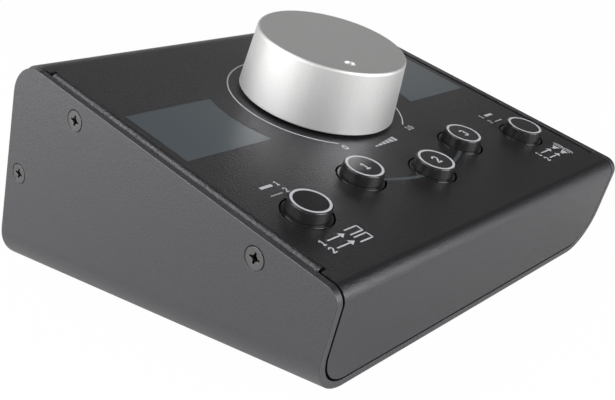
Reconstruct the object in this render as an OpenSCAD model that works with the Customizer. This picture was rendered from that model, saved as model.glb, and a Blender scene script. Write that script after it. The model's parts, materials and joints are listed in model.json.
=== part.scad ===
// Desktop studio monitor controller: a folded steel case with a sloped top, one
// large volume knob, five round push buttons and eight 6.35 mm jacks at the back.
// Millimetres. X to the right, Y to the rear, Z up, origin under the middle on the desk.

/* [Case] */
// Outside width over the two side plates
body_w = 140; // [130:1:160]
// Length of the floor plate, front edge to rear edge
floor_len = 126; // [120:1:134]
// Height of the front edge, measured along its lean
front_len = 30; // [28:0.5:34]
// Slope of the top panel
slope_deg = 18.3; // [16:0.1:20]
// Lean of the front and rear edges
lean_deg = 16.4; // [14:0.1:18]
// Thickness of the chassis sheet
chassis_t = 2; // [1.5:0.1:2.2]
// Thickness of the top cover sheet
cover_t = 1.5; // [1.2:0.1:1.8]
// Outside radius of the chassis's two lower bends
bend_r = 12.4; // [8:0.2:14]
// Outside radius at the front top edge
front_r = 4; // [3:0.5:5]
// Outside radius at the cover's rear top edge
rear_r = 9; // [7:0.5:10]
// Radius of the side plates' rear top corner
plate_r = 10.5; // [9:0.5:12]
// Slit between the cover and the chassis
slit = 0.6; // [0.4:0.1:0.8]

/* [Cover flanges] */
// Depth of the cover's side flanges
flange_d = 11; // [10:0.5:11]
// Outside radius of the flange bends
flange_r = 2; // [1.8:0.1:2.5]
// Where the top flanges start, up from the front edge
flange_v0 = 9; // [8:0.5:12]
// Where the top flanges end
flange_v1 = 108; // [104:0.5:109]
// Width of the relief notches at the flange ends
notch_w = 1; // [0.8:0.1:1.4]

/* [Volume knob] */
// Knob centre, up the slope from the front edge
knob_v = 68.7; // [66:0.1:72]
// Knob radius at its foot
knob_r = 23.7; // [22:0.1:24]
// Knob radius at its top
knob_top_r = 22.3; // [21:0.1:23]
// Height of the knob's top above the panel
knob_h = 19.5; // [18:0.1:20]
// Gap between the panel and the knob
knob_gap = 0.8; // [0.7:0.1:1.2]
// Turn of the knob from stop to stop
knob_turn = 295; // [270:5:300]

/* [Push buttons] */
// Distance of the outer buttons from the middle
outer_u = 51.9; // [50:0.1:52.5]
// Outer buttons, up the slope
outer_v = 25.8; // [25:0.1:28]
// Distance of the two upper middle buttons from the middle
inner_u = 24.2; // [22:0.1:28]
// Upper middle buttons, up the slope
inner_v = 31.2; // [30:0.1:33]
// Middle button, up the slope
middle_v = 24.7; // [24:0.1:27]
// Radius of the button holes
hole_r = 7; // [6.8:0.1:7.2]
// Height of a released cap above the panel
cap_h = 3.4; // [3:0.05:4]
// Button travel
travel = 2.5; // [2:0.1:2.5]

/* [Rear jacks] */
// Distance between jack columns
jack_pitch = 32; // [30:1:32]
// Lower jack row, up the rear panel
jack_low = 22; // [22:0.5:23]
// Upper jack row, up the rear panel
jack_high = 46; // [44:0.5:46]
// Bore radius for a 6.35 mm plug
jack_bore_r = 3.2; // [3.2:0.05:3.3]

/* [Feet] */
// Height of the rubber feet
foot_h = 4; // [3:0.5:4]
// Foot radius
foot_r = 6.5; // [6:0.5:8]
// Feet from the middle, left and right
foot_x = 46; // [40:1:48]
// Feet in from the ends of the floor
foot_inset = 18; // [16:1:24]

/* [Hidden] */
$fn = 96;

// Places of the buttons on the panel, from left to right: [across, up the slope]
button_at = [[-outer_u, outer_v], [-inner_u, inner_v], [0, middle_v], [inner_u, inner_v],
    [outer_u, outer_v]];
// Relief notches run just past the flange bends
notch_deep = flange_r + 0.1;
// M3 screws and nuts; the side screws are countersunk
screw_r = 1.42;
screw_len = 6;
screw_head_r = 2.8;
head_rim = 0.2;
head_deep = 1.6;
sink_r = 3.05;
hole_m3_r = 1.65;
nut_bore_r = 1.5;
nut_flats = 5.5;
nut_h = 2.4;
// Press nuts in the cover's flanges
press_r = 3.1;
press_h = 1.5;
press_barrel_r = 2.12;
press_hole_r = 2.15;
// Side screws: two up the slope, one up the rear edge, all this far inside the edge
screw_in = 6.1;
screw_front_v = 24;
screw_rear_v = 92.4;
screw_back_s = 35;
// Foot screws: pan heads let into the rubber
pan_r = 2.7;
pan_h = 1.6;
pan_hole_r = 3.1;
foot_seat = 2 - foot_h;
foot_screw_len = 7.5;
// Control board, parallel to the panel
board_t = 1.6;
board_top = -13;
board_u = 61;
board_v0 = 10;
board_v1 = 90;
stud_u = 57;
stud_v = [14.5, 85];
stud_past = 4;
spacer_r = 2.9;
resistor_r = 1.15;
resistor_l = 6.3;
resistor_v = 50;
// Switches and caps, as heights from the panel's outer face
switch_w = 8.4;
switch_top = -5;
cap_foot = -1.6;
cap_r = 5.6;
cap_edge = 0.35;
cap_skirt_r = 5.85;
cap_step = 0.35;
cap_lip_r = 6.5;
cap_lip_edge = 0.2;
cap_top_t = 1.2;
cap_boss_r = 2.9;
cap_hollow_r = 4.6;
cap_mouth_r = 5.6;
cap_mouth = 0.8;
plunger_w = 3;
socket_w = 3.2;
socket_top = 1.5;
plunger_top = 1.3;
shoulder_top = -6.1;
shoulder_t = 1;
shoulder_w = 5.6;
cavity_w = 6;
spring_r = 2.3;
spring_bore_r = 1.9;
spring_rest = 2.4 + travel;
cavity_foot = shoulder_top - shoulder_t - spring_rest;
// Potentiometer, its shaft, and the knob with its hub
pot_w = 17;
pot_l = 19;
pot_wall = 1.5;
wiper_r = 6.5;
wiper_t = 1.5;
bush_r = 3.5;
bush_top = 3.3;
washer_r = 6.2;
washer_t = 0.6;
shaft_r = 3;
shaft_top = 14.2;
shaft_flat = 1.5;
hub_r = 8;
hub_foot = 3.6;
hub_top = 14.6;
set_screw_r = 1.5;
set_screw_l = 8;
set_screw_up = 8.6;
knob_edge = 1;
knob_foot_edge = 0.4;
knob_hollow = [11, 20];
pointer_r = 16.4;
pointer_ball_r = 1.9;
pointer_deg = -90 - (360 - knob_turn) / 2;
// Jack board, parallel to the rear panel
jack_l = 20;
jack_w = 15.6;
jack_wall = 2;
jack_board_s0 = 13;
jack_board_s1 = 58;
jack_bush_r = 5.5;
jack_bush_h = 4;
jack_washer_t = 0.5;
jack_at = [for (i = [-1.5:1:1.5]) i * jack_pitch];
// Flat cable and its connectors
cable_v = 74;
cable_s = 30;
cable_w = 12.7;
cable_t = 0.9;
cable_r = 6;
shroud = [20.3, 8.8, 9];
shroud_wall = 1.3;
shroud_floor = 1;
plug = [17.2, 5.8, 11.5];
plug_from = 2.1;

// ---- side profile, in the plane of Y and Z, with the floor's underside at 0 ----
// A line is [outward normal Y, outward normal Z, offset]
front_y = 0;
rear_y = front_y + floor_len;
front_top = [front_y - front_len * sin(lean_deg), front_len * cos(lean_deg)];
floor_line = [0, -1, 0];
front_line = [-cos(lean_deg), -sin(lean_deg), -cos(lean_deg) * front_y];
slope_line = [-sin(slope_deg), cos(slope_deg),
    -sin(slope_deg) * front_top[0] + cos(slope_deg) * front_top[1]];
rear_line = [cos(lean_deg), sin(lean_deg), cos(lean_deg) * rear_y];

// Where two lines meet, each moved inwards by the given distance
function meet(a, b, in) =
    let (ca = a[2] - in, cb = b[2] - in, det = a[0] * b[1] - b[0] * a[1])
    [(ca * b[1] - cb * a[1]) / det, (a[0] * cb - b[0] * ca) / det];
function foot_on(centre, line, r) = [centre[0] + r * line[0], centre[1] + r * line[1]];

front_arc = meet(front_line, slope_line, front_r);
nose_y = front_arc[0] - front_r;
shift_y = -(nose_y + rear_y) / 2;
big = 200;

// The profile moved inwards, with its two upper corners rounded about fixed centres
module profile(in, back_r = rear_r) difference() {
    polygon([meet(front_line, floor_line, in), meet(front_line, slope_line, in),
        meet(slope_line, rear_line, in), meet(rear_line, floor_line, in)]);
    corner_tip(front_line, slope_line, in, front_r);
    corner_tip(slope_line, rear_line, in, back_r);
}
// What a rounded corner takes off: the outer part of the corner, past its arc
module corner_tip(a, b, in, r) {
    centre = meet(a, b, r);
    over = 1;
    difference() {
        polygon([meet(a, b, in - over), foot_on(centre, a, r - in + over), centre,
            foot_on(centre, b, r - in + over)]);
        translate(centre) circle(r - in);
    }
}
// The front view of the chassis's inside or outside: a U with round lower corners
module u_shape(in) {
    w = body_w / 2;
    translate([-w + in, bend_r]) square([2 * (w - in), big]);
    translate([-(w - bend_r), in]) square([2 * (w - bend_r), bend_r]);
    for (side = [-1, 1]) translate([side * (w - bend_r), bend_r]) circle(bend_r - in);
}
module along_x(w) rotate([90, 0, 90]) linear_extrude(w, center = true) children();
module along_y() translate([0, big, 0]) rotate([90, 0, 0]) linear_extrude(2 * big) children();

// ---- frames: each puts +Z along the outward normal of a face of the case ----
module in_case() translate([0, shift_y, foot_h]) children();
module on_slope() in_case() translate([0, front_top[0], front_top[1]])
    rotate([slope_deg, 0, 0]) children();
module on_rear() in_case() translate([0, rear_y, 0]) rotate([lean_deg, 0, 0])
    rotate([90, 0, 180]) children();
module at_knob() on_slope() translate([0, knob_v, 0]) children();
module at_button(i) on_slope() translate([button_at[i][0], button_at[i][1], 0]) children();
module at_side_screws() {
    on_slope() for (v = [screw_front_v, screw_rear_v])
        translate([body_w / 2, v, -screw_in]) rotate([0, 90, 0]) children();
    on_rear() translate([-body_w / 2, screw_back_s, -screw_in]) rotate([0, -90, 0]) children();
}
module at_feet() in_case() for (x = [-foot_x, foot_x], y = [front_y + foot_inset, rear_y - foot_inset])
    translate([x, y, 0]) children();
module at_studs() on_slope() for (u = [-stud_u, stud_u], v = stud_v)
    translate([u, v, 0]) children();
module at_jacks(s) on_rear() for (u = jack_at) translate([u, s, 0]) children();
module both_sides() {
    children();
    mirror([1, 0, 0]) children();
}

// ---- small shapes ----
// Takes the tip off the upper outer corner of a half section, down to an arc
module round_off(corner, r) translate(corner - [r, r]) difference() {
    square(r + 1);
    circle(r);
}
module tube(r, bore, h) difference() {
    cylinder(r = r, h = h);
    translate([0, 0, -1]) cylinder(r = bore, h = h + 2);
}
module hex_nut(flats, bore, h) difference() {
    cylinder(r = flats / sqrt(3), h = h, $fn = 6);
    translate([0, 0, -1]) cylinder(r = bore, h = h + 2);
}
module cross_recess(w, t, deep) for (a = [0, 90]) rotate(a)
    translate([-w / 2, -t / 2, -deep]) cube([w, t, deep + 1]);
// Head up, its flat top at 0
module countersunk_screw() difference() {
    union() {
        translate([0, 0, -head_deep])
            cylinder(r1 = screw_r, r2 = screw_head_r, h = head_deep - head_rim);
        translate([0, 0, -head_rim]) cylinder(r = screw_head_r, h = head_rim);
        translate([0, 0, -screw_len]) cylinder(r = screw_r, h = screw_len - head_deep);
    }
    cross_recess(3.1, 0.62, 0.6);
    translate([0, 0, -1.3]) cylinder(r1 = 0.35, r2 = 0.95, h = 1.31);
}

// ---- the case ----
module chassis() color("dimgray") difference() {
    in_case() intersection() {
        along_x(body_w + 2) profile(0, plate_r);
        along_y() difference() {
            u_shape(0);
            u_shape(chassis_t);
        }
    }
    both_sides() at_side_screws() {
        translate([0, 0, -chassis_t - 1]) cylinder(r = hole_m3_r, h = chassis_t + 2);
        translate([0, 0, -head_deep]) cylinder(r1 = hole_m3_r, r2 = sink_r, h = head_deep - head_rim);
        translate([0, 0, -head_rim - 0.01]) cylinder(r = sink_r, h = 1);
    }
    at_feet() translate([0, 0, -1]) cylinder(r = hole_m3_r, h = chassis_t + 2);
}

cover_w = body_w - 2 * (chassis_t + slit);
// The section across a flanged stretch of the cover, its outer face at 0
module channel() difference() {
    flange_section(0);
    flange_section(cover_t);
}
module flange_section(in) {
    w = cover_w / 2 - in;
    r = flange_r - in;
    translate([-w, -flange_d - 2 * in]) square([2 * w, flange_d - flange_r + 2 * in]);
    translate([-w + r, -flange_r - 1]) square([2 * (w - r), flange_r + 1 - in]);
    for (side = [-1, 1]) translate([side * (w - r), -flange_r]) circle(r);
}
module channel_run(from, to) translate([0, to, 0]) rotate([90, 0, 0])
    linear_extrude(to - from) channel();
// Cuts the flat sheet back beside a flanged stretch, with a notch at each end
module edge_cut(from, to) for (side = [-1, 1])
    translate([side * (cover_w / 2) - notch_deep, from - notch_w, -cover_t - 1])
        cube([2 * notch_deep, to - from + 2 * notch_w, cover_t + 2]);
back_v0 = chassis_t + bend_r + 1;
back_v1 = 57;
module top_cover() color([0.2, 0.2, 0.21]) difference() {
    union() {
        difference() {
            in_case() intersection() {
                difference() {
                    along_x(cover_w) profile(0);
                    along_x(cover_w + 2) profile(cover_t);
                }
                along_y() u_shape(chassis_t + slit);
            }
            on_slope() edge_cut(flange_v0, flange_v1);
            on_rear() edge_cut(back_v0, back_v1);
        }
        on_slope() channel_run(flange_v0, flange_v1);
        on_rear() channel_run(back_v0, back_v1);
    }
    at_knob() translate([0, 0, -3]) cylinder(r = bush_r + 0.1, h = 6);
    for (i = [0:4]) at_button(i) translate([0, 0, -3]) cylinder(r = hole_r, h = 6);
    for (s = [jack_low, jack_high]) at_jacks(s) translate([0, 0, -3])
        cylinder(r = jack_bush_r + 0.1, h = 6);
    both_sides() at_side_screws() translate([0, 0, -6]) cylinder(r = press_hole_r, h = 4);
}
module side_screws_right() color("gray") at_side_screws() countersunk_screw();
module side_screws_left() color("gray") mirror([1, 0, 0]) at_side_screws() countersunk_screw();
// Press nuts on the inside of the flanges
module clinch_nuts() color("silver") both_sides() at_side_screws() {
    inside = -(chassis_t + slit + cover_t);
    translate([0, 0, inside - press_h]) tube(press_r, nut_bore_r, press_h);
    translate([0, 0, inside]) tube(press_barrel_r, nut_bore_r, cover_t - 0.05);
}

// ---- feet ----
module rubber_feet() color([0.1, 0.1, 0.1]) at_feet() difference() {
    union() {
        translate([0, 0, -foot_h]) cylinder(r1 = foot_r - 0.8, r2 = foot_r, h = foot_h - 1);
        translate([0, 0, -1]) cylinder(r = foot_r, h = 1);
    }
    translate([0, 0, -foot_h - 1]) cylinder(r = hole_m3_r, h = foot_h + 2);
    translate([0, 0, -foot_h - 1]) cylinder(r = pan_hole_r, h = foot_seat + foot_h + 1);
}
module foot_screws() color("silver") at_feet() translate([0, 0, foot_seat]) difference() {
    union() {
        translate([0, 0, -pan_h]) cylinder(r = pan_r, h = pan_h);
        cylinder(r = screw_r, h = foot_screw_len);
    }
    translate([0, 0, -pan_h]) mirror([0, 0, 1]) cross_recess(2.8, 0.6, 1);
}
module foot_nuts() color("silver") at_feet() translate([0, 0, chassis_t])
    hex_nut(nut_flats, nut_bore_r, nut_h);

// ---- volume knob and potentiometer ----
// Half section of the aluminium shell, turned about the knob's axis
module knob_half() difference() {
    polygon([[0, knob_gap], [knob_r - knob_foot_edge, knob_gap], [knob_r, knob_gap + knob_foot_edge],
        [knob_top_r, knob_h - knob_edge], [knob_top_r, knob_h], [0, knob_h]]);
    round_off([knob_top_r, knob_h], knob_edge);
    translate([knob_hollow[0], knob_gap - 1])
        square([knob_hollow[1] - knob_hollow[0], hub_top - knob_gap + 1]);
    translate([-1, knob_gap - 1]) square([knob_hollow[0] + 1.1, hub_foot - knob_gap + 1]);
    translate([-1, hub_foot - 1]) square([hub_r + 1.02, hub_top - hub_foot + 1.05]);
}
module knob_shell() color([0.8, 0.8, 0.81]) at_knob() difference() {
    rotate_extrude() knob_half();
    rotate(pointer_deg) translate([pointer_r, 0, knob_h + pointer_ball_r / 2]) sphere(r = pointer_ball_r);
    set_screw_axis() cylinder(r = set_screw_r + 0.1, h = 40);
}
module set_screw_axis() translate([0, 0, set_screw_up]) rotate([-90, 0, 0]) children();
// A circle with one flat side, at the given distance short of the full radius
module d_shape(r, flat) difference() {
    circle(r);
    translate([-r - 1, r - flat]) square([2 * r + 2, flat + 1]);
}
module knob_hub() color("darkgoldenrod") at_knob() difference() {
    translate([0, 0, hub_foot]) cylinder(r = hub_r, h = hub_top - hub_foot);
    translate([0, 0, hub_foot - 1]) linear_extrude(shaft_top + 0.3 - hub_foot + 1)
        d_shape(shaft_r + 0.03, shaft_flat - 0.05);
    set_screw_axis() cylinder(r = set_screw_r + 0.05, h = 20);
}
module knob_set_screw() color("dimgray") at_knob() set_screw_axis()
    translate([0, 0, shaft_r - shaft_flat + 0.1]) difference() {
        cylinder(r = set_screw_r, h = set_screw_l);
        translate([0, 0, set_screw_l - 1.6]) cylinder(r = 0.85, h = 2.6, $fn = 6);
    }
pot_foot = board_top + pot_wall;
module pot_body() color("royalblue") at_knob() difference() {
    union() {
        translate([-pot_w / 2, -pot_l / 2, board_top]) cube([pot_w, pot_l, -cover_t - board_top]);
        translate([0, 0, -cover_t]) cylinder(r = bush_r, h = bush_top + cover_t);
    }
    translate([0, 0, -cover_t - 2]) cylinder(r = shaft_r + 0.05, h = big);
    translate([0, 0, pot_foot]) cylinder(r = wiper_r + 0.5, h = -cover_t - pot_wall - pot_foot);
}
// The shaft and the wiper disc at its inner end
module pot_shaft() color("silver") at_knob() {
    translate([0, 0, pot_foot + 0.5]) cylinder(r = wiper_r, h = wiper_t);
    translate([0, 0, pot_foot + 1]) cylinder(r = shaft_r, h = hub_foot - pot_foot - 1);
    translate([0, 0, hub_foot - 1]) linear_extrude(shaft_top - hub_foot + 1)
        d_shape(shaft_r, shaft_flat);
}
module pot_washer() color("silver") at_knob() tube(washer_r, bush_r + 0.1, washer_t);
module pot_nut() color("silver") at_knob() translate([0, 0, washer_t])
    hex_nut(10, bush_r + 0.03, 2.2);

// ---- push buttons ----
// Half section of a cap: a disc with a soft edge on a hollow skirt, its lip level with the panel
module cap_half() difference() {
    polygon([[0, cap_foot], [cap_lip_r, cap_foot], [cap_lip_r, 0], [cap_skirt_r, 0],
        [cap_skirt_r, cap_step], [cap_r, cap_h - cap_edge], [cap_r, cap_h], [0, cap_h]]);
    round_off([cap_r, cap_h], cap_edge);
    round_off([cap_lip_r, 0], cap_lip_edge);
    translate([cap_boss_r, cap_foot - 1])
        square([cap_hollow_r - cap_boss_r, cap_h - cap_top_t - cap_foot + 1]);
    translate([cap_boss_r, cap_foot - 1]) square([cap_mouth_r - cap_boss_r, cap_mouth + 1]);
}
// A square block between two heights, its middle on the axis
module block(w, from, to) translate([-w / 2, -w / 2, from]) cube([w, w, to - from]);
module cap(i) color([0.12, 0.12, 0.12]) at_button(i) difference() {
    rotate_extrude() cap_half();
    block(socket_w, cap_foot - 1, socket_top);
}
module plunger(i) color("white") at_button(i) {
    block(plunger_w, shoulder_top - shoulder_t, plunger_top);
    block(shoulder_w, shoulder_top - shoulder_t, shoulder_top);
}
module spring(i) color("silver") at_button(i) translate([0, 0, cavity_foot])
    tube(spring_r, spring_bore_r, spring_rest);
module switch(i) color("dimgray") at_button(i) difference() {
    block(switch_w, board_top, switch_top);
    block(socket_w, shoulder_top - 1, switch_top + 1);
    block(cavity_w, cavity_foot, shoulder_top);
}

// ---- control board, hung from the panel ----
module control_board() color("darkgreen") difference() {
    on_slope() translate([-board_u, board_v0, board_top - board_t])
        cube([2 * board_u, board_v1 - board_v0, board_t]);
    at_studs() translate([0, 0, board_top - board_t - 1]) cylinder(r = hole_m3_r, h = board_t + 2);
}
module panel_studs() color("silver") at_studs() translate([0, 0, board_top - board_t - stud_past])
    cylinder(r = screw_r, h = stud_past + board_t - board_top - cover_t);
module board_spacers() color("silver") at_studs() translate([0, 0, board_top])
    tube(spacer_r, hole_m3_r, -cover_t - board_top);
module board_nuts() color("silver") at_studs() translate([0, 0, board_top - board_t - nut_h])
    hex_nut(nut_flats, nut_bore_r, nut_h);
module pad_resistors() color("tan") on_slope() for (u = [-40:5:-20], side = [-1, 1])
    translate([side * u, resistor_v, board_top + resistor_r]) rotate([90, 0, 0])
        cylinder(r = resistor_r, h = resistor_l);

// ---- jack board, behind the rear panel ----
jack_back = -cover_t - jack_l;
module jack_board() color("darkgreen") on_rear()
    translate([-board_u, jack_board_s0, jack_back - board_t])
        cube([2 * board_u, jack_board_s1 - jack_board_s0, board_t]);
module jack(s) at_jacks(s) difference() {
    union() {
        translate([-jack_w / 2, -jack_w / 2, jack_back]) cube([jack_w, jack_w, jack_l]);
        translate([0, 0, -cover_t]) cylinder(r = jack_bush_r, h = jack_bush_h + cover_t);
    }
    translate([0, 0, jack_back + jack_wall]) cylinder(r = jack_bore_r, h = big);
    translate([-1.5, jack_bore_r - 1, jack_back + jack_wall]) cube([3, 4, 12]);
}
module input_jacks() color([0.1, 0.1, 0.1]) jack(jack_low);
module output_jacks() color([0.1, 0.1, 0.1]) jack(jack_high);
module jack_washers() color("silver") for (s = [jack_low, jack_high]) at_jacks(s)
    tube(7.6, jack_bush_r + 0.1, jack_washer_t);
module jack_nuts() color([0.12, 0.12, 0.12]) for (s = [jack_low, jack_high]) at_jacks(s)
    translate([0, 0, jack_washer_t]) hex_nut(14, jack_bush_r + 0.03, 2.3);
// Tip springs, one in the slot above each bore
module jack_contacts() color("gold") for (s = [jack_low, jack_high]) at_jacks(s)
    translate([-1.2, jack_bore_r + 0.9, jack_back + jack_wall]) cube([2.4, 0.4, 11]);

// ---- flat cable between the two boards ----
// A box hung below 0, its middle on the axis
module hung_box(size, top) translate([-size[0] / 2, -size[1] / 2, top - size[2]]) cube(size);
module shroud_box() difference() {
    hung_box(shroud, 0);
    hung_box(shroud - 2 * [shroud_wall, shroud_wall, 0], -shroud_floor);
}
module plug_box() hung_box(plug, -plug_from);
module under_control() on_slope() translate([0, cable_v, board_top - board_t]) children();
module behind_jacks() on_rear() translate([0, cable_s, jack_back - board_t]) children();
module control_header() color([0.1, 0.1, 0.1]) under_control() shroud_box();
module jack_header() color([0.1, 0.1, 0.1]) behind_jacks() shroud_box();
module control_plug() color("gray") under_control() plug_box();
module jack_plug() color("gray") behind_jacks() plug_box();

// The cable leaves each plug square to its board, and its two runs meet in one bend.
// These run in the side profile's plane; a line's normal points out of the bend.
along_slope = [cos(slope_deg), sin(slope_deg)];
up_rear = [-sin(lean_deg), cos(lean_deg)];
function slope_point(v, h) = front_top + v * along_slope + h * [-along_slope[1], along_slope[0]];
function rear_point(s, h) = [rear_y, 0] + s * up_rear + h * [up_rear[1], -up_rear[0]];
run_a = concat(-along_slope, -along_slope * slope_point(cable_v, 0));
run_b = concat(-up_rear, -up_rear * rear_point(cable_s, 0));
bend_centre = meet(run_a, run_b, cable_r);
bend_turn = 90 + lean_deg - slope_deg;
bend_steps = 12;
plug_end = board_t + plug_from + plug[2];
// One face of the cable, at radius r round the bend
function cable_face(r) = concat([slope_point(cable_v + cable_r - r, board_top - plug_end)],
    [for (i = [0:bend_steps]) let (a = 180 + slope_deg + i / bend_steps * bend_turn)
        bend_centre + r * [cos(a), sin(a)]],
    [rear_point(cable_s + cable_r - r, jack_back - plug_end)]);
module ribbon_cable() color("silver") in_case() along_x(cable_w) {
    inner = cable_face(cable_r - cable_t / 2);
    polygon(concat(cable_face(cable_r + cable_t / 2), [for (i = [len(inner) - 1:-1:0]) inner[i]]));
}

chassis();
top_cover();
side_screws_left();
side_screws_right();
clinch_nuts();
rubber_feet();
foot_screws();
foot_nuts();
knob_shell();
knob_hub();
knob_set_screw();
pot_body();
pot_shaft();
pot_washer();
pot_nut();
cap(0);  // left_cap
cap(1);  // inner_left_cap
cap(2);  // middle_cap
cap(3);  // inner_right_cap
cap(4);  // right_cap
plunger(0);  // left_plunger
plunger(1);  // inner_left_plunger
plunger(2);  // middle_plunger
plunger(3);  // inner_right_plunger
plunger(4);  // right_plunger
spring(0);  // left_spring
spring(1);  // inner_left_spring
spring(2);  // middle_spring
spring(3);  // inner_right_spring
spring(4);  // right_spring
switch(0);  // left_switch
switch(1);  // inner_left_switch
switch(2);  // middle_switch
switch(3);  // inner_right_switch
switch(4);  // right_switch
control_board();
panel_studs();
board_spacers();
board_nuts();
pad_resistors();
jack_board();
input_jacks();
output_jacks();
jack_washers();
jack_nuts();
jack_contacts();
control_header();
jack_header();
control_plug();
jack_plug();
ribbon_cable();
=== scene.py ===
"""A desktop studio monitor controller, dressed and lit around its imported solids.

The file goes through the object as it is put together: the folded case, its screws and feet, the
prints on the panel, the volume knob, the push buttons, the boards and the rear jacks. Everything is
in metres in the solids' own frame, and sizes written in millimetres carry MM.
"""

import json
import math

import bpy
import numpy as np
from mathutils import Matrix, Vector


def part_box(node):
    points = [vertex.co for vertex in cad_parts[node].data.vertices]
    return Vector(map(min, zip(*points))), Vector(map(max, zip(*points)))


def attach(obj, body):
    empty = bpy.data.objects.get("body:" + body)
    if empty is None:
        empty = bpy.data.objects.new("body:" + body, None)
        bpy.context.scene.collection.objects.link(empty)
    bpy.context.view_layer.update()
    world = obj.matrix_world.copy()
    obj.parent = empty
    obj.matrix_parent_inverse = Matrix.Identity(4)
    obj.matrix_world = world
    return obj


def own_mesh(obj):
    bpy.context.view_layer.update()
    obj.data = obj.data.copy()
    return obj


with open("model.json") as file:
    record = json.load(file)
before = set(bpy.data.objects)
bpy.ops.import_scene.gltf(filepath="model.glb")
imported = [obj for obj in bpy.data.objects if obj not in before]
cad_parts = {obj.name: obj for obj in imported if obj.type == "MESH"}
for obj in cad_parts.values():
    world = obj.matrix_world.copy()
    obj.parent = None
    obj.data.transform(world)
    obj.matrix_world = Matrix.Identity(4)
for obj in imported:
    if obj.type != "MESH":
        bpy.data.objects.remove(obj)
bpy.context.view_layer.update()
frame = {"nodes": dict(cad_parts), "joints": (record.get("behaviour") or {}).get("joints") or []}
scene = bpy.context.scene
MM = 0.001

# ---- the camera ----
# A product photograph taken from the front left and a little above, cropped off its centre. The
# place, the view and the focal length come from a fit of the case's edges to the photograph.
PHOTO_WIDTH, PHOTO_HEIGHT = 615, 400
FOCAL_PIXELS = 923.6
LENS_AXIS_PIXEL = (252.5, 179.3)
SENSOR_WIDTH = 36
eye = Vector((-210.55, -175.67, 110.70)) * MM
heading, dip, roll = math.radians(46.564), math.radians(16.607), math.radians(-0.28)

camera_data = bpy.data.cameras.new("camera")
camera_data.sensor_width = SENSOR_WIDTH
camera_data.lens = FOCAL_PIXELS / PHOTO_WIDTH * SENSOR_WIDTH
camera_data.shift_x = (PHOTO_WIDTH / 2 - LENS_AXIS_PIXEL[0]) / PHOTO_WIDTH
camera_data.shift_y = (LENS_AXIS_PIXEL[1] - PHOTO_HEIGHT / 2) / PHOTO_WIDTH
camera_data.clip_start, camera_data.clip_end = 0.01, 20
camera = bpy.data.objects.new("camera", camera_data)
camera.matrix_world = (
    Matrix.Translation(eye)
    @ Matrix.Rotation(-heading, 4, "Z")
    @ Matrix.Rotation(math.pi / 2 - dip, 4, "X")
    @ Matrix.Rotation(roll, 4, "Z")
)
scene.collection.objects.link(camera)
scene.camera = camera
scene.view_settings.view_transform = "Standard"

# ---- the studio: sky, floor and soft boxes ----
# White paper under a bright horizon that dims overhead, so upright faces are lit more than the
# panel and the knob's top. Soft boxes at the left and right shape the knob's side, and a small one
# overhead lifts the panel.


def add(material, kind, **values):
    """One node of a material or world. Each value is an attribute, an input or a link to one."""
    made = material.node_tree.nodes.new("ShaderNode" + kind)
    for key, value in values.items():
        if key[0].islower():
            setattr(made, key, value)
            continue
        socket = made.inputs[int(key[1:]) if key[1:].isdigit() else key.replace("_", " ")]
        if isinstance(value, bpy.types.NodeSocket):
            material.node_tree.links.new(value, socket)
        else:
            socket.default_value = value
    return made


def ramp(material, factor, *stops):
    """A colour ramp through (place, grey) stops."""
    made = add(material, "ValToRGB", Fac=factor)
    steps = made.color_ramp.elements
    while len(steps) < len(stops):
        steps.new(0.5)
    for step, (place, grey) in zip(steps, stops):
        step.position = place
        step.color = (grey, grey, grey, 1)
    return made.outputs["Color"]


world = bpy.data.worlds.new("studio")
world.use_nodes = True
scene.world = world
# The sky's level by the sine of the height above the horizon
sky_way = add(world, "TexCoord").outputs["Generated"]
sky_up = add(world, "SeparateXYZ", Vector=sky_way).outputs["Z"]
sky_level = ramp(world, sky_up, (0.0, 0.75), (0.25, 0.7), (0.47, 0.56), (0.57, 0.07), (1.0, 0.04))
# A dark wing on the right keeps the front fold and the front of the panel dark. Its level goes by
# the cosine of the angle from its middle
WING_MIDDLE = (0.936, -0.341, 0.087)
to_wing = add(world, "VectorMath", operation="DOT_PRODUCT", _0=sky_way, _1=WING_MIDDLE)
wing = ramp(world, to_wing.outputs["Value"], (0.5, 0.75), (0.65, 1.0), (0.77, 0.24), (0.93, 0.07))
winged_sky = add(
    world, "Mix", data_type="RGBA", blend_type="MULTIPLY", Factor=1.0, _6=sky_level, _7=wing
)
sky = world.node_tree.nodes["Background"]
world.node_tree.links.new(winged_sky.outputs[2], sky.inputs["Color"])
sky.inputs["Strength"].default_value = 1.33
# The camera sees plain white beyond the floor's far edge
white = add(world, "Background", Color=(1, 1, 1, 1), Strength=1.0)
direct = add(world, "LightPath").outputs["Is Camera Ray"]
backdrop = add(world, "MixShader", Fac=direct, _1=sky.outputs[0], _2=white.outputs[0])
world_surface = world.node_tree.nodes["World Output"].inputs["Surface"]
world.node_tree.links.new(backdrop.outputs[0], world_surface)

# The share of plain white in the paper, for the camera and in a mirroring surface. The rest is lit
# paper, which holds the object's shadow
WHITE_SEEN, WHITE_MIRRORED = 0.985, 0.355
floor_paper = bpy.data.materials.new("floor_paper")
floor_paper.use_nodes = True
floor_paper.node_tree.nodes.clear()
lit_paper = add(floor_paper, "BsdfDiffuse", Color=(0.8, 0.8, 0.8, 1)).outputs[0]
white_paper = add(floor_paper, "Emission", Color=(1, 1, 1, 1), Strength=1.0).outputs[0]
ray = add(floor_paper, "LightPath").outputs
mirrored = add(
    floor_paper, "Math", operation="ADD", _0=ray["Is Glossy Ray"], _1=ray["Is Transmission Ray"]
).outputs[0]
straight = add(
    floor_paper, "Math", operation="MULTIPLY", _0=ray["Is Camera Ray"], _1=WHITE_SEEN
).outputs[0]
share = add(
    floor_paper, "Math", operation="MULTIPLY_ADD", _0=mirrored, _1=WHITE_MIRRORED, _2=straight
).outputs[0]
mixed_paper = add(floor_paper, "MixShader", Fac=share, _1=lit_paper, _2=white_paper)
add(floor_paper, "OutputMaterial", Surface=mixed_paper.outputs[0])

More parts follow.
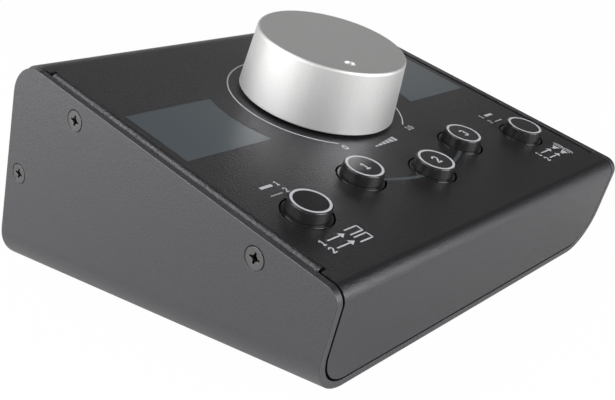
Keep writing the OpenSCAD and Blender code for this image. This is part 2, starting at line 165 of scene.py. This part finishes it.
HALF_FLOOR, FLOOR_DROP = 4.0, 0.1 * MM
floor_corners = np.array([(-1, -1, 0), (1, -1, 0), (1, 1, 0), (-1, 1, 0)]) * HALF_FLOOR
floor_mesh = bpy.data.meshes.new("floor")
floor_mesh.from_pydata((floor_corners - (0, 0, FLOOR_DROP)).tolist(), [], [(0, 1, 2, 3)])
floor_mesh.materials.append(floor_paper)
floor = bpy.data.objects.new("floor", floor_mesh)
scene.collection.objects.link(floor)

case_middle = Vector((0, 0, 0.05))


def soft_box(name, place, width, height, power):
    """A rectangular lamp that faces the case; sizes in metres, power in watts."""
    lamp = bpy.data.lights.new(name, "AREA")
    lamp.shape, lamp.size, lamp.size_y, lamp.energy = "RECTANGLE", width, height, power
    box = bpy.data.objects.new(name, lamp)
    box.location = place
    box.rotation_mode = "QUATERNION"
    box.rotation_quaternion = (case_middle - Vector(place)).to_track_quat("-Z", "Y")
    box.visible_camera = False
    scene.collection.objects.link(box)


soft_box("left_box", (-0.85, 0.35, 0.26), 1.3, 0.5, 7.2)
soft_box("right_box", (0.19, -0.88, 0.26), 0.7, 0.5, 9.2)
soft_box("top_box", (-0.46, 0.27, 0.86), 0.45, 0.45, 4.4)

# ---- the case: chassis and cover ----
# Two folded steel sheets under one fine-grained satin powder coat: a grey U for the floor and the
# sides, and a black cover for the front, panel and rear. The coat softens the U's cut edges.


def material_of(name, colour, roughness, metallic=0.0, **constants):
    """A new material. Colour, roughness and other constants sit on the shader's own sockets."""
    made = bpy.data.materials.new(name)
    made.use_nodes = True
    shader = made.node_tree.nodes["Principled BSDF"]
    shader.inputs["Base Color"].default_value = (*colour, 1)
    shader.inputs["Roughness"].default_value = roughness
    shader.inputs["Metallic"].default_value = metallic
    for key, value in constants.items():
        shader.inputs[key.replace("_", " ")].default_value = value
    return made


def place_of(material):
    """The point on the piece, in metres, that a pattern is worked out from."""
    return add(material, "TexCoord").outputs["Object"]


def to_shader(material, output, name):
    """Links an output to one of the shader's sockets."""
    links = material.node_tree.links
    links.new(output, material.node_tree.nodes["Principled BSDF"].inputs[name])


def grain(material, size, depth, strength, detail=2.0):
    """Fine bumps of one size and depth, in metres, as the surface's normal."""
    noise = add(material, "TexNoise", Vector=place_of(material), Scale=1 / size, Detail=detail)
    bump = add(material, "Bump", Strength=strength, Distance=depth, Height=noise.outputs["Fac"])
    to_shader(material, bump.outputs["Normal"], "Normal")


def mottle(material, colour, size, spread):
    """The colour, darker and lighter by a share of itself in soft patches of one size."""
    noise = add(material, "TexNoise", Vector=place_of(material), Scale=1 / size, Detail=3.0)
    low, high = (tuple(c * (1 + way * spread) for c in colour) + (1,) for way in (-1, 1))
    mix = add(material, "Mix", data_type="RGBA", Factor=noise.outputs["Fac"], _6=low, _7=high)
    to_shader(material, mix.outputs[2], "Base Color")


# Angles between faces: merged as flat below the first, rounded above the second where an edge is
# softened, and shaded as a crease above the third
FLAT, CUT, CREASE = math.radians(0.3), math.radians(50), math.radians(30)
WELD_GAP = 1e-7


def dress(node, material, soft_edge=0):
    """A solid's material, its cut edges softened by a width, and smooth shading between creases."""
    piece = frame["nodes"][node]
    piece.material_slots[0].material = material
    piece.data.polygons.foreach_set("use_smooth", [True] * len(piece.data.polygons))
    piece.modifiers.new("weld", "WELD").merge_threshold = WELD_GAP
    flats = piece.modifiers.new("flats", "DECIMATE")
    flats.decimate_type, flats.angle_limit = "DISSOLVE", FLAT
    if soft_edge:
        rounding = piece.modifiers.new("soft edge", "BEVEL")
        rounding.width, rounding.segments, rounding.use_clamp_overlap = soft_edge, 4, False
        rounding.limit_method, rounding.angle_limit = "ANGLE", CUT
    piece.modifiers.new("edges", "EDGE_SPLIT").split_angle = CREASE
    piece.modifiers.new("even shading", "WEIGHTED_NORMAL").weight = 100


def powder_coat(name, colour, peel):
    """Satin powder coat: a fine orange-peel grain of one depth, with slightly uneven colour."""
    coat = material_of(name, colour, 0.4, Specular_IOR_Level=1.0, Specular_Tint=(0.94, 0.93, 1, 1))
    mottle(coat, colour, 0.6 * MM, 0.5)
    grain(coat, 0.5 * MM, peel, 0.9, 3.0)
    return coat


dress("chassis", powder_coat("grey_powder_coat", (0.02, 0.02, 0.0215), 0.09 * MM), 0.2 * MM)
dress("top_cover", powder_coat("black_powder_coat", (0.006, 0.006, 0.0062), 0.17 * MM))

# ---- case hardware ----
# Grey lacquered countersunk screws in the sides, bright zinc-plated screws and nuts elsewhere, and
# moulded rubber feet.


def plated(name, colour, roughness):
    """Plated, lacquered or turned metal with a faint uneven lustre."""
    metal = material_of(name, colour, roughness, metallic=1.0)
    grain(metal, 0.4 * MM, 0.01 * MM, 0.2)
    return metal


# Painted shade: the side screws' colour is darkened in the cross and on the cone, from just under
# the head's face inwards, standing in for the shade in the recess
HEAD_FACE, HEAD_CONE = 69.8 * MM, 69.5 * MM
FACE_GREY, CROSS_PAINTED_SHADE = 0.15, 0.01
screw_grey = plated("grey_screw", (FACE_GREY, FACE_GREY, FACE_GREY), 0.34)
screw_x = add(screw_grey, "SeparateXYZ", Vector=place_of(screw_grey)).outputs["X"]
from_middle = add(screw_grey, "Math", operation="ABSOLUTE", _0=screw_x).outputs[0]
recess_painted_shade = add(screw_grey, "MapRange", Value=from_middle, From_Min=HEAD_CONE, From_Max=HEAD_FACE)
# The painted recess shade runs from this dark grey at the cone to the face's own grey
recess_painted_shade.inputs["To Min"].default_value = CROSS_PAINTED_SHADE
recess_painted_shade.inputs["To Max"].default_value = FACE_GREY
to_shader(screw_grey, recess_painted_shade.outputs["Result"], "Base Color")
for name in ("side_screws_left", "side_screws_right"):
    dress(name, screw_grey, 0.1 * MM)

zinc = plated("zinc_steel", (0.62, 0.63, 0.65), 0.3)
for name in ("clinch_nuts", "foot_screws", "foot_nuts"):
    dress(name, zinc)


def moulded(name, colour, roughness, size=0.5 * MM, depth=0.01 * MM):
    """Moulded plastic or rubber with a fine tool grain."""
    plastic = material_of(name, colour, roughness)
    grain(plastic, size, depth, 0.25)
    return plastic


dress("rubber_feet", moulded("black_rubber", (0.02, 0.02, 0.02), 0.75, 0.3 * MM, 0.03 * MM))

# ---- prints on the panel ----
# Screen-printed ink a few hundredths of a millimetre thick: the dial's ring with its numbers, two
# blue-grey windows, the arc behind the middle buttons, and plain signs by the outer buttons.
# Places are millimetres across and up the slope from the knob's centre.
turn = next(j for j in frame["joints"] if j["name"] == "volume_turn")
knob_centre = np.array(turn["pos_m"])
outward = -np.array(turn["axis"])
across = np.array([1.0, 0.0, 0.0])
up_slope = np.cross(outward, across)
INK_TOP, INK_DEEP = 0.03, 0.022


def on_panel(u, v, out):
    """Points in metres for millimetres across, up the slope and out of the panel."""
    u, v, out = (np.asarray(a, float)[..., None] for a in np.broadcast_arrays(u, v, out))
    return knob_centre + MM * (u * across + v * up_slope + out * outward)


def round_points(radius, start, end, count):
    """Points on a circle about the origin between two angles; two radii make an ellipse."""
    angle = np.radians(np.linspace(start, end, count))
    return np.stack([np.cos(angle), np.sin(angle)], 1) * radius


def quads(rows, columns):
    """Faces of a grid of points numbered row by row."""
    first = (np.arange(rows - 1)[:, None] * columns + np.arange(columns - 1)).ravel()
    return np.stack([first, first + 1, first + columns + 1, first + columns], 1).tolist()


def between(left, right, columns=2):
    """A flat shape ruled between two edges: each point is left + t (right - left)."""
    t = np.linspace(0, 1, columns)[:, None, None]
    grid = left + t * (right - left)
    return grid.reshape(-1, 2), quads(columns, len(left))


def band(path, width):
    """A ribbon: the path moved half the width to each side, along its own normal."""
    way = np.gradient(path, axis=0)
    way /= np.linalg.norm(way, axis=1)[:, None]
    side = np.stack([way[:, 1], -way[:, 0]], 1) * width / 2
    points, faces = between(path - side, path + side)
    return points, [face[::-1] for face in faces]


def line(start, end, width):
    """A straight ribbon."""
    return band(np.array([start, end], float), width)


def plate(*corners):
    """One filled outline, its corners given anticlockwise."""
    return np.array(corners, float), [list(range(len(corners)))]


# Strokes of each numeral, in a box one high with its middle at the origin
NUMERALS = {
    "0": [round_points((0.27, 0.41), 0, 360, 33)],
    "1": [
        [(-0.24, 0.22), (0.05, 0.42)],
        [(0.0, 0.47), (0.0, -0.42)],
        [(-0.24, -0.41), (0.24, -0.41)],
    ],
    "2": [
        np.concatenate([round_points((0.25, 0.24), 165, -25, 15) + (0, 0.18), [(-0.2, -0.38)]]),
        [(-0.3, -0.41), (0.3, -0.41)],
    ],
    "3": [
        round_points((0.23, 0.2), 155, -90, 15) + (-0.01, 0.22),
        round_points((0.26, 0.22), 90, -155, 15) + (-0.01, -0.2),
    ],
}
# Shares of a numeral's height
NUMERAL_PITCH, NUMERAL_STROKE = 0.76, 0.17


def numeral(text, height, u, v):
    """Numbers of one height, their middle at (u, v)."""
    shapes = []
    for place, character in enumerate(text):
        shift = (place - (len(text) - 1) / 2) * NUMERAL_PITCH
        for stroke in NUMERALS[character]:
            path = (np.array(stroke, float) + (shift, 0)) * height + (u, v)
            shapes.append(band(path, NUMERAL_STROKE * height))
    return shapes


def printed(name, shapes, material, body, at=(0, 0, 0)):
    """One sheet of ink from several flat shapes, on the panel or on a cap at (u, v, out)."""
    points, faces, count = [], [], 0
    for shape, cells in shapes:
        points.append(shape)
        faces += [[i + count for i in face] for face in cells]
        count += len(shape)
    flat = np.concatenate(points)
    placed = on_panel(flat[:, 0] + at[0], flat[:, 1] + at[1], at[2] + INK_TOP)
    mesh = bpy.data.meshes.new(name)
    mesh.from_pydata(placed.tolist(), [], faces)
    mesh.materials.append(material)
    piece = bpy.data.objects.new(name, mesh)
    scene.collection.objects.link(piece)
    thick = piece.modifiers.new("ink", "SOLIDIFY")
    thick.thickness, thick.offset = INK_DEEP * MM, -1
    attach(piece, body)


def ink(name, colour, roughness=0.5, gloss=0.5):
    """Screen ink: matt, with the fine unevenness of the coat under it."""
    made = material_of(name, colour, roughness, Specular_IOR_Level=gloss)
    mottle(made, colour, 0.3 * MM, 0.12)
    grain(made, 0.35 * MM, 0.02 * MM, 0.25)
    return made


grey_ink = ink("grey_ink", (0.46, 0.465, 0.49))
blue_ink = ink("blue_ink", (0.049, 0.061, 0.069), 0.34, 1.0)

RING_RADIUS, RING_START, RING_END, RING_WIDTH = 27.0, -55.4, 235.4, 0.42
dial_shapes = [band(round_points(RING_RADIUS, RING_START, RING_END, 181), RING_WIDTH)]
dial_shapes += numeral("0", 2.3, -15.2, -24.5)
dial_shapes += numeral("10", 2.2, 15.7, -24.4)
# A rising wedge of bars under the dial
WEDGE_BARS, WEDGE_FOOT, LOW_BAR, BAR_RISE = 6, -28.1, 0.5, 0.32
BAR_WIDE, BAR_PITCH = 1.3, 1.8
for step in range(WEDGE_BARS):
    left = (step - WEDGE_BARS / 2) * BAR_PITCH
    tall = LOW_BAR + step * BAR_RISE
    bar_v = WEDGE_FOOT + tall / 2
    dial_shapes.append(line((left, bar_v), (left + BAR_WIDE, bar_v), tall))
printed("dial_print", dial_shapes, grey_ink, "case")

# Each window's inner side is an arc about the knob's centre
WINDOW_OUTER, WINDOW_LOW, WINDOW_HIGH, WINDOW_ARC = 63.4, -12.65, 11.9, 35.0
for side, name in ((-1, "left_window_print"), (1, "right_window_print")):
    v = np.linspace(WINDOW_LOW, WINDOW_HIGH, 33)
    inner = np.stack([side * np.sqrt(WINDOW_ARC**2 - v**2), v], 1)
    outer = np.stack([np.full_like(v, side * WINDOW_OUTER), v], 1)
    shape = between(inner, outer, 3) if side < 0 else between(outer, inner, 3)
    printed(name, [shape], blue_ink, "case")

ARC_RADIUS, ARC_START, ARC_END, ARC_WIDTH = 45.1, -115, -64, 1.1
button_arc = band(round_points(ARC_RADIUS, ARC_START, ARC_END, 61), ARC_WIDTH)
printed("button_arc_print", [button_arc], blue_ink, "case")

# Beside the outer buttons, a thick bar with a 1 and a thin bar with a 2
HALF_BAR, THICK, THIN = 2.1, 1.0, 0.36
sign_shapes = []
for bar_u, number_u, thick_v, thin_v in (
    (-53.0, -49.1, -30.0, -33.7),
    (53.4, 49.3, -29.6, -33.5),
):
    sign_shapes.append(line((bar_u - HALF_BAR, thick_v), (bar_u + HALF_BAR, thick_v), THICK))
    sign_shapes.append(line((bar_u - HALF_BAR, thin_v), (bar_u + HALF_BAR, thin_v), THIN))
    sign_shapes += numeral("1", 2.0, number_u, thick_v + 0.2)
    sign_shapes += numeral("2", 2.0, number_u, thin_v + 0.6)

# Below the outer buttons, two numbered arrows each: into a box at the left, and to a loudspeaker
# with two sound arcs at the right
STROKE = 0.42


def numbered_arrow(number, u, v):
    """A numeral and an arrow away from it, 9 mm long from u."""
    shapes = numeral(number, 2.3, u + 0.8, v)
    shapes.append(line((u + 2.6, v), (u + 7.4, v), STROKE))
    shapes.append(plate((u + 7.2, v - 1.0), (u + 9.0, v), (u + 7.2, v + 1.0)))
    return shapes


for number, v in (("1", -53.3), ("2", -56.4)):
    sign_shapes += numbered_arrow(number, -59.2, v)
    box_edge = [(-49.3, v - 1.0), (-44.6, v - 1.0), (-44.6, v + 1.0), (-49.3, v + 1.0)]
    for start, end in zip(box_edge, box_edge[1:]):
        sign_shapes.append(line(start, end, STROKE))
for number, v in (("1", -53.1), ("2", -56.1)):
    sign_shapes += numbered_arrow(number, 44.4, v)
    back, cone, mouth = 54.6, 55.6, 57.0
    lower = [(back, v - 0.5), (cone, v - 0.5), (mouth, v - 1.2)]
    upper = [(mouth, v + 1.2), (cone, v + 0.5), (back, v + 0.5)]
    sign_shapes.append(plate(*lower, *upper))
    for radius in (2.0, 3.1):
        sign_shapes.append(band(round_points(radius, -40, 40, 13) + (mouth - 0.8, v), STROKE))
printed("button_signs_print", sign_shapes, grey_ink, "case")

# ---- the volume knob ----
# A turned and bead-blasted aluminium shell, clear anodised, on a brass bush. Its grub screw grips
# the flat of the potentiometer's steel shaft.
KNOB_GREY = (0.675, 0.672, 0.668)
aluminium = material_of("turned_aluminium", KNOB_GREY, 0.56, metallic=1.0)
mottle(aluminium, KNOB_GREY, 0.5 * MM, 0.06)
grain(aluminium, 0.12 * MM, 0.02 * MM, 0.2)
dress("knob_shell", aluminium)
dress("knob_hub", plated("brass", (0.75, 0.58, 0.28), 0.3))
dress("knob_set_screw", plated("black_steel", (0.06, 0.06, 0.06), 0.4))
dress("pot_body", moulded("blue_plastic", (0.05, 0.13, 0.36), 0.5))
for name in ("pot_shaft", "pot_washer", "pot_nut"):
    dress(name, zinc)

# ---- the push buttons ----
# Each is a black cap on a white plunger, in a sealed push switch with a return spring. A light
# grey ring is printed round the top of each cap, and a plain number on the middle three.
cap_black = moulded("black_cap_plastic", (0.012, 0.012, 0.0125), 0.2, 0.2 * MM, 0.004 * MM)
plunger_white = moulded("white_plastic", (0.78, 0.78, 0.76), 0.45)
switch_dark = moulded("dark_plastic", (0.04, 0.04, 0.042), 0.5)
spring_steel = plated("spring_steel", (0.5, 0.5, 0.5), 0.3)
CAP_HEIGHT, CAP_RING_RADIUS, CAP_RING_WIDTH, CAP_NUMBER_HEIGHT = 3.4, 4.88, 0.68, 3.2
cap_numbers = {"inner_left": "1", "middle": "2", "inner_right": "3"}


def middle_of(node):
    """The middle of a node's box, in metres."""
    low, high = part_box(node)
    return np.array(low + high) / 2


for name in ("left", "inner_left", "middle", "inner_right", "right"):
    dress(name + "_cap", cap_black)
    dress(name + "_plunger", plunger_white)
    dress(name + "_spring", spring_steel)
    dress(name + "_switch", switch_dark)
    # The spring gets a mesh of its own
    spring = frame["nodes"][name + "_spring"]
    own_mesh(spring)
    button = (middle_of(name + "_switch") - knob_centre) / MM
    cap_top = (button @ across, button @ up_slope, CAP_HEIGHT)
    cap_shapes = [band(round_points(CAP_RING_RADIUS, 0, 360, 73), CAP_RING_WIDTH)]
    if name in cap_numbers:
        cap_shapes += numeral(cap_numbers[name], CAP_NUMBER_HEIGHT, 0, 0)
    body = name + "_button"
    printed(name + "_cap_print", cap_shapes, grey_ink, body, cap_top)

# ---- boards and wiring ----
# Two green lacquered boards, on plated studs and spacers with nuts, with ceramic resistors. Black
# moulded headers and grey plugs join them by a grey flat cable.
board_green = moulded("green_board", (0.02, 0.14, 0.05), 0.35, 1.2 * MM)
black_plastic = moulded("black_plastic", (0.02, 0.02, 0.02), 0.35)
grey_plastic = moulded("grey_plastic", (0.42, 0.42, 0.43), 0.5)
for name in ("control_board", "jack_board"):
    dress(name, board_green)
for name in ("panel_studs", "board_spacers", "board_nuts"):
    dress(name, zinc)
dress("pad_resistors", moulded("tan_ceramic", (0.55, 0.44, 0.28), 0.5))
for name in ("control_header", "jack_header"):
    dress(name, black_plastic)
for name in ("control_plug", "jack_plug", "ribbon_cable"):
    dress(name, grey_plastic)

# ---- the rear jacks ----
# Moulded black jack bodies with gilt tip springs, each clamped to the rear face by a plated steel
# washer and a black moulded nut.
for name in ("input_jacks", "output_jacks", "jack_nuts"):
    dress(name, black_plastic)
dress("jack_washers", zinc)
dress("jack_contacts", plated("gilt_brass", (0.85, 0.66, 0.3), 0.25))
